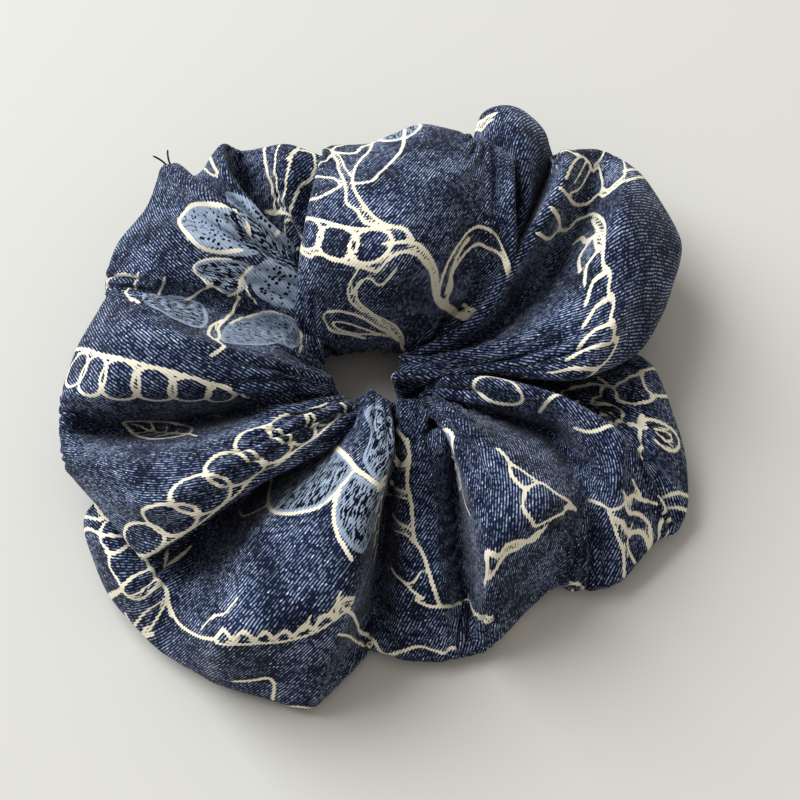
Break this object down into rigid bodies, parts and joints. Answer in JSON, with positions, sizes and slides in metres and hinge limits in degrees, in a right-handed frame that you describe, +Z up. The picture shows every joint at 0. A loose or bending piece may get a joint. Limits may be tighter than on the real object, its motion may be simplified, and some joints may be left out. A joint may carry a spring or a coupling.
{
  "type": "scrunchie",
  "caption": "Gathered fabric hair tie: a soft printed ring bunched round a loop of flat elastic, lying flat.",
  "frame": {"origin": "middle of the footprint, on the surface that the ring lies on", "axes": "+Z up through the hole; +X is the direction in which the ring is pulled open; +Y to the back"},
  "size_m": [0.1254, 0.1252, 0.038],
  "materials": {
    "printed_twill": "soft matt woven twill in faded navy, printed with cream outlines and pale blue petals",
    "elastic_webbing": "matt braided elastic, off-white",
    "sewing_thread": "matt spun polyester thread, dark navy"
  },
  "bodies": {
    "left": {"cover_left_upper": "printed_twill", "cover_left_lower": "printed_twill", "elastic_left_upper": "elastic_webbing", "elastic_left_lower": "elastic_webbing", "elastic_lap_needle_thread": "sewing_thread", "elastic_lap_bobbin_thread": "sewing_thread", "long_seam_thread_left_upper": "sewing_thread", "long_seam_thread_left_lower": "sewing_thread", "closing_seam_thread": "sewing_thread", "thread_tail_1": "sewing_thread", "thread_tail_2": "sewing_thread"},
    "right": {"cover_right": "printed_twill", "elastic_right": "elastic_webbing", "long_seam_thread_right": "sewing_thread"}
  },
  "joints": [
    {"name": "stretch", "type": "slide", "parent": "left", "child": "right", "axis": [1, 0, 0], "range_m": [0, 0.06], "stiffness_N_per_m": 30}
  ]
}
